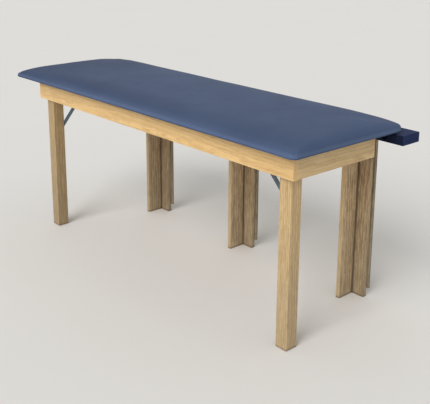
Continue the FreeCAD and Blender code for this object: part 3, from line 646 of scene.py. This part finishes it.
def makeHem(shape):
    low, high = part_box("underside_hem")
    railLow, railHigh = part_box("front_rail")
    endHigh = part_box("end_rail")[1]
    long, wide = high.x - low.x, high.y - low.y
    bm = bmesh.new()
    bmesh.ops.create_grid(bm, x_segments=1, y_segments=1, size=0.5)
    bmesh.ops.scale(bm, vec=(long, wide, 1), verts=bm.verts)
    centre = ((low.x + high.x) / 2, (low.y + high.y) / 2, high.z - shape["deckGap"])
    bmesh.ops.translate(bm, vec=centre, verts=bm.verts)
    bmesh.ops.bevel(bm, geom=bm.verts[:], affect="VERTICES", offset=shape["corner"], segments=8, profile=0.5,
                    material=-1)
    left, right = railLow.x - shape["railGap"], railHigh.x + shape["railGap"]
    front, back = railLow.y - shape["railGap"], endHigh.y + shape["railGap"]
    lines = [(0, left), (0, right), (1, front), (1, back)]
    lines += [(0, low.x + shape["step"] * k) for k in range(1, int(long / shape["step"]))]
    lines += [(1, back + shape["pullRows"][0]), (1, (back + high.y) / 2 + shape["pullRows"][1])]
    for axis, level in lines:
        cutAcross(bm, axis, level, 1e-6)
    window = []  # the rails frame the bare deck
    for face in bm.faces:
        at = face.calc_center_median()
        if left < at.x < right and front < at.y < back:
            window.append(face)
    bmesh.ops.delete(bm, geom=window, context="FACES")
    for vert in bm.verts:
        x, y = vert.co.xy
        if left - 1e-6 <= x <= right + 1e-6 and y > back - 1e-6:
            phase = (x - left) / (right - left) * shape["pulls"]
            pull = 1 - abs((phase % 1.0) * 2 - 1) ** shape["pullSharpness"]
            fade = max(0.0, 1 - (y - back) / shape["pullReach"])
            vert.co.y += shape["pullDepth"] * pull * fade
        wave = noise.noise(Vector((x * shape["waves"], y * shape["waves"], 7.7)))
        vert.co.z -= shape["waveDepth"] * (wave * 0.5 + 0.5)
    area = sum(face.calc_area() for face in bm.faces)
    run = high.x - low.x + high.y - low.y + right - left + back - front  # all round, along the middle
    bmesh.ops.solidify(bm, geom=bm.faces[:], thickness=shape["thick"])
    bmesh.ops.recalc_face_normals(bm, faces=bm.faces)
    return bm, (area / run, run)


hemMesh, hemFlat = makeHem(hemShape)
hem = settle(hemMesh, "turnedHem", "top", vinylFinish("shadedVinyl", hemLook), smooth=False)
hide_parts("underside_hem")


# screws

screwShape = {
    "sides": 16,
    "rise": 0.0006,  # head over the surface
    "taper": 0.84,
    "sink": 0.0009,  # depth of the cross
    "root": 1.5,  # the head goes down this many sinks
    "slot": 0.17,  # half the width of the cross, in radii
    "arm": 0.62,  # and its reach
}
screwRadius = {"longLeaf": 0.0038, "track": 0.0042, "cleat": 0.0040, "legLeaf": 0.0034, "plate": 0.0024}
screwPlaces = {
    "railLeaf": [(0.08, 0.010), (0.30, 0.026), (0.70, 0.026), (0.92, 0.010)],  # share along, metres across
    "deckLeaf": [(share, depth) for share in (0.08, 0.30, 0.70, 0.92) for depth in (0.012, 0.036)],
    "legLeaf": [(0.008, 0.2), (0.008, 0.8), (0.026, 0.5)],  # metres from the free edge, share across
    "track": (0.06, 0.35, 0.65, 0.94),
    "trackInset": 0.012,
    "cleat": (0.25, 0.75),
    "cleatInset": 0.009,
    "plateReach": 0.0155,
    "plateRise": 0.0002,
}
sheetThick = {"leaf": 0.0016, "track": 0.003, "plate": 0.002}


def addScrew(bm, at, facing, radius, rise=screwShape["rise"]):
    shape = screwShape
    sink = shape["sink"]
    depth = rise + sink * shape["root"]
    part = bmesh.new()
    bmesh.ops.create_cone(part, cap_ends=True, segments=shape["sides"], radius1=radius,
                          radius2=radius * shape["taper"], depth=depth)
    bmesh.ops.translate(part, vec=(0, 0, rise - depth / 2), verts=part.verts)
    for axis in (0, 1):
        for share in (-shape["arm"], -shape["slot"], shape["slot"], shape["arm"]):
            cutAcross(part, axis, share * radius, 1e-7)
    cross = []
    for face in part.faces:
        spot = face.calc_center_median()
        inner, outer = sorted((abs(spot.x), abs(spot.y)))
        if face.normal.z > 0.9 and inner < shape["slot"] * radius and outer < shape["arm"] * radius:
            cross.append(face)
    deeper = bmesh.ops.extrude_face_region(part, geom=cross)
    bmesh.ops.delete(part, geom=cross, context="FACES")
    bmesh.ops.translate(part, vec=(0, 0, -sink),
                        verts=[item for item in deeper["geom"] if isinstance(item, bmesh.types.BMVert)])
    turn = Vector((0, 0, 1)).rotation_difference(Vector(facing)).to_matrix().to_4x4()
    spin = Matrix.Rotation((at[0] * 37 + at[1] * 91 + at[2] * 53) % 1.57, 4, "Z")  # no two crosses line up
    bmesh.ops.transform(part, matrix=Matrix.Translation(at) @ turn @ spin, verts=part.verts)
    loose = bpy.data.meshes.new("screw")
    part.to_mesh(loose)
    part.free()
    bm.from_mesh(loose)
    bpy.data.meshes.remove(loose)


topScrews = bmesh.new()
frameScrews = bmesh.new()
for side in ("left", "right"):
    low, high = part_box("rail_leaf_" + side)
    for share, depth in screwPlaces["railLeaf"]:
        spot = (between(low.x, high.x, share), low.y + depth, low.z + sheetThick["leaf"])
        addScrew(frameScrews, spot, (0, 0, 1), screwRadius["longLeaf"])
    low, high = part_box("deck_leaf_" + side)
    for share, depth in screwPlaces["deckLeaf"]:
        spot = (between(low.x, high.x, share), low.y + depth, high.z - sheetThick["leaf"])
        addScrew(topScrews, spot, (0, 0, -1), screwRadius["longLeaf"])
    low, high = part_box("brace_track_" + side)
    for share in screwPlaces["track"]:
        spot = (between(low.x, high.x, share), high.y - screwPlaces["trackInset"],
                high.z - sheetThick["track"])
        addScrew(topScrews, spot, (0, 0, -1), screwRadius["track"])
    low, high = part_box("leg_cleat_" + side)
    inner = high.x - screwPlaces["cleatInset"] if side == "left" else low.x + screwPlaces["cleatInset"]
    for share in screwPlaces["cleat"]:
        addScrew(topScrews, (inner, between(low.y, high.y, share), low.z), (0, 0, -1), screwRadius["cleat"])
    low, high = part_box("cleat_leaf_" + side)
    freeEdge, towardsPin = (high.x, -1) if side == "left" else (low.x, 1)
    for reach, share in screwPlaces["legLeaf"]:
        spot = (freeEdge + towardsPin * reach, between(low.y, high.y, share), high.z - sheetThick["leaf"])
        addScrew(topScrews, spot, (0, 0, -1), screwRadius["legLeaf"])
settle(topScrews, "topScrews", "top", zincAlongY, smooth=False)

for side in ("left", "right"):
    legScrews = bmesh.new()
    low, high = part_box("leg_leaf_" + side)
    outer, inward = (low.x, 1) if side == "left" else (high.x, -1)
    for drop, share in screwPlaces["legLeaf"]:
        spot = (outer + inward * sheetThick["leaf"], between(low.y, high.y, share), low.z + drop)
        addScrew(legScrews, spot, (inward, 0, 0), screwRadius["legLeaf"])
    settle(legScrews, side + "LegScrews", side + "_leg", zincAlongY, smooth=False)

low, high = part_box("latch_plate")
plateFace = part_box("latch_block")[0].y - sheetThick["plate"]
for across in (-1, 1):
    for up in (-1, 1):
        spot = ((low.x + high.x) / 2 + across * screwPlaces["plateReach"], plateFace,
                (low.z + high.z) / 2 + up * screwPlaces["plateReach"])
        addScrew(frameScrews, spot, (0, -1, 0), screwRadius["plate"], screwPlaces["plateRise"])
settle(frameScrews, "frameScrews", "wall_frame", zincAlongX, smooth=False)


# staples that hold the hem

stapleShape = {
    "length": 0.010,
    "wire": 0.0011,
    "proud": 0.0007,
    "round": 0.00035,
    "spacing": 0.055,
    "inset": 0.012,
    "backSkew": (0.2, 2.3),  # most that one is turned, and how it changes along the row
    "leftSkew": (0.15, 1.7),
}


def makeStaples(shape):
    railLow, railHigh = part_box("front_rail")
    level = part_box("underside_hem")[0].z
    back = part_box("end_rail")[1].y + shape["inset"] + hemShape["pullDepth"]
    left = railLow.x - shape["inset"]
    spots = []
    most, change = shape["backSkew"]
    count = int((railHigh.x - railLow.x) / shape["spacing"])
    for k in range(count + 1):
        spots.append((railLow.x + (railHigh.x - railLow.x) * k / count, back, most * math.sin(k * change)))
    most, change = shape["leftSkew"]
    count = int((back - railLow.y) / shape["spacing"])
    for k in range(1, count):
        turn = math.pi / 2 + most * math.sin(k * change)
        spots.append((left, railLow.y + (back - railLow.y) * k / count, turn))
    bm = bmesh.new()
    for x, y, turn in spots:
        made = bmesh.ops.create_cube(bm, size=1.0)["verts"]
        bmesh.ops.scale(bm, vec=(shape["length"], shape["wire"], shape["proud"] * 2), verts=made)
        rim = {e for v in made for e in v.link_edges if all(end.co.z < 0 for end in e.verts)}
        rounded = bmesh.ops.bevel(bm, geom=list(rim), affect="EDGES", offset=shape["round"], segments=2,
                                  profile=0.5, material=-1)["verts"]
        made = rounded + [v for v in made if v.is_valid]
        move = Matrix.Translation((x, y, level)) @ Matrix.Rotation(turn, 4, "Z")
        bmesh.ops.transform(bm, matrix=move, verts=list(set(made)))
    return bm


settle(makeStaples(stapleShape), "hemStaples", "top", zincAlongX, smooth=False)
print("hem, screws and staples made")


# latch knob

knobShape = {
    "outline": [  # metres out from the axis and away from the lever
        (0.0000, 0.0000), (0.0080, 0.0000), (0.0080, 0.0015), (0.0062, 0.0030), (0.0058, 0.0060),
        (0.0068, 0.0085), (0.0105, 0.0105), (0.0126, 0.0122), (0.0130, 0.0140), (0.0127, 0.0158),
        (0.0112, 0.0176), (0.0078, 0.0190), (0.0040, 0.0198), (0.0000, 0.0200),
    ],
    "steps": 48,
}


def makeKnob(shape):
    low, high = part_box("latch_knob")
    centre = (low + high) / 2
    bm = bmesh.new()
    ring = [bm.verts.new((centre.x + out, high.y - away, centre.z)) for out, away in shape["outline"]]
    edges = [bm.edges.new(pair) for pair in zip(ring, ring[1:])]
    bmesh.ops.spin(bm, geom=ring + edges, cent=(centre.x, 0, centre.z), axis=(0, 1, 0), angle=2 * math.pi,
                   steps=shape["steps"], use_merge=True)
    bmesh.ops.remove_doubles(bm, verts=bm.verts, dist=1e-6)
    bmesh.ops.recalc_face_normals(bm, faces=bm.faces)
    return bm


knob = settle(makeKnob(knobShape), "latchKnob", "latch", chromePlate)
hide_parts("latch_knob")
print("latch knob made")


# floor, light and camera

stageLook = {
    "floor": tint(228, 227, 224),
    "floorDrift": tint(225, 224, 221),
    "floorReach": 60,
    "backdrop": tint(219, 217, 212),
    "sky": (1.0, 0.99, 0.97, 1.0),
    "skyLight": 0.56,
    "sunLight": 2.05,
    "sunFrom": (0.25, -0.92, 0.72),
    "sunSoftness": 36,  # degrees
}


def floorFinish(look):
    f = Finish("paleFloor")
    spot = f.point(*f.place())
    colour = f.mix(f.cloud(spot, 0.9, 3.0), look["floor"], look["floorDrift"])
    return f.show(Base_Color=colour, Roughness=f.cloud(spot, 60.0) * 0.1 + 0.7)


def makeFloor(look):
    bm = bmesh.new()
    bmesh.ops.create_grid(bm, x_segments=2, y_segments=2, size=look["floorReach"])
    mesh = bpy.data.meshes.new("floor")
    bm.to_mesh(mesh)
    bm.free()
    mesh.materials.append(floorFinish(look))
    made = bpy.data.objects.new("floor", mesh)
    scene.collection.objects.link(made)
    return made


floor = makeFloor(stageLook)


def makeLight(look):
    world = bpy.data.worlds.new("studio")
    world.use_nodes = True
    tree = world.node_tree
    sky = tree.nodes["Background"]
    sky.inputs["Color"].default_value = look["sky"]
    sky.inputs["Strength"].default_value = look["skyLight"]
    backdrop = tree.nodes.new("ShaderNodeBackground")
    backdrop.inputs["Color"].default_value = look["backdrop"]
    path = tree.nodes.new("ShaderNodeLightPath")
    seen = path.outputs["Is Camera Ray"]
    for ray in ("Is Glossy Ray", "Is Transmission Ray"):  # metal shows the backdrop too
        either = tree.nodes.new("ShaderNodeMath")
        either.operation = "MAXIMUM"
        tree.links.new(seen, either.inputs[0])
        tree.links.new(path.outputs[ray], either.inputs[1])
        seen = either.outputs[0]
    blend = tree.nodes.new("ShaderNodeMixShader")
    tree.links.new(seen, blend.inputs[0])
    tree.links.new(sky.outputs[0], blend.inputs[1])
    tree.links.new(backdrop.outputs[0], blend.inputs[2])
    tree.links.new(blend.outputs[0], tree.nodes["World Output"].inputs["Surface"])
    scene.world = world
    sun = bpy.data.lights.new("key", "SUN")
    sun.energy = look["sunLight"]
    sun.angle = math.radians(look["sunSoftness"])
    holder = bpy.data.objects.new("key", sun)
    holder.rotation_euler = Vector(look["sunFrom"]).to_track_quat("Z", "Y").to_euler()
    scene.collection.objects.link(holder)


makeLight(stageLook)

cameraLook = {
    "place": (2.4287, -1.9760, 1.4182),
    "yaw": 46.7939,
    "pitch": -14.3133,
    "roll": 0.8492,
    "picture": (430, 404),  # pixels, as are focal and centre
    "focal": 757.812,
    "centre": (242.133, 124.6),
    "sensor": 36,
}


def makeCamera(look):
    wide, tall = look["picture"]
    yaw, pitch, roll = (math.radians(look[turn]) for turn in ("yaw", "pitch", "roll"))
    ahead = Vector((-math.sin(yaw) * math.cos(pitch), math.cos(yaw) * math.cos(pitch), math.sin(pitch)))
    right = Vector((math.cos(yaw), math.sin(yaw), 0))
    up = right.cross(ahead)
    right, up = right * math.cos(roll) + up * math.sin(roll), up * math.cos(roll) - right * math.sin(roll)
    lens = bpy.data.cameras.new("camera")
    lens.sensor_fit = "HORIZONTAL"
    lens.sensor_width = look["sensor"]
    lens.lens = look["focal"] * look["sensor"] / wide
    lens.shift_x = (wide / 2 - look["centre"][0]) / wide
    lens.shift_y = (look["centre"][1] - tall / 2) / wide
    holder = bpy.data.objects.new("camera", lens)
    turn = Matrix((right, up, -ahead)).transposed().to_4x4()
    holder.matrix_world = Matrix.Translation(look["place"]) @ turn
    scene.collection.objects.link(holder)
    scene.camera = holder


makeCamera(cameraLook)
print("stage, lamp and camera set")
